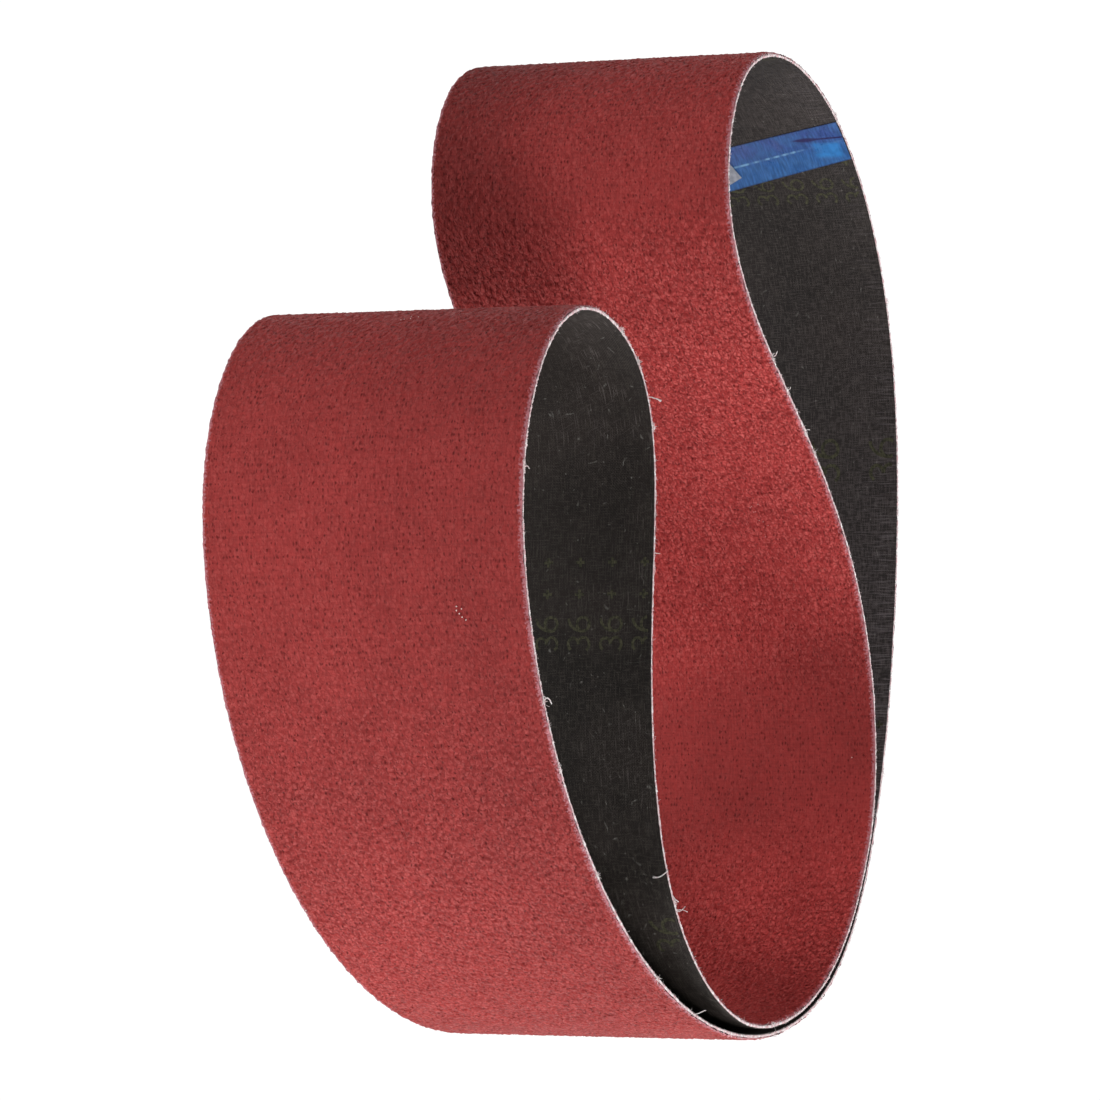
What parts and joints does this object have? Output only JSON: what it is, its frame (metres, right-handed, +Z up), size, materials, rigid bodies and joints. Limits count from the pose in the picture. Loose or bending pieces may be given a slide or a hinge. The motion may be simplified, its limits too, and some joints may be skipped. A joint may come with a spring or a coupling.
{
  "type": "sanding belt",
  "caption": "Endless coarse-grit sanding belt standing on its cut edge as a loose kidney-shaped loop, red grain outside, dark cloth inside, with a taped butt joint.",
  "frame": {"origin": "middle of the footprint's bounding box, on the surface the belt stands on", "axes": "+Z up across the belt's width; +X from the open mouth of the kidney towards its closed side; +Y away from the viewer of the picture"},
  "size_m": [0.3076, 0.3152, 0.1],
  "materials": {
    "abrasive_grain": "coarse ceramic grain set in red resin, matt",
    "cloth_backing": "resin-finished black woven polyester cloth, matt",
    "cut_yarn": "white cut yarn ends, slightly frayed",
    "splice_film": "blue polyester film, semi-gloss, slightly creased"
  },
  "bodies": {
    "root": {"abrasive_strip": "abrasive_grain", "splice_tape": "splice_film"}
  },
  "joints": []
}
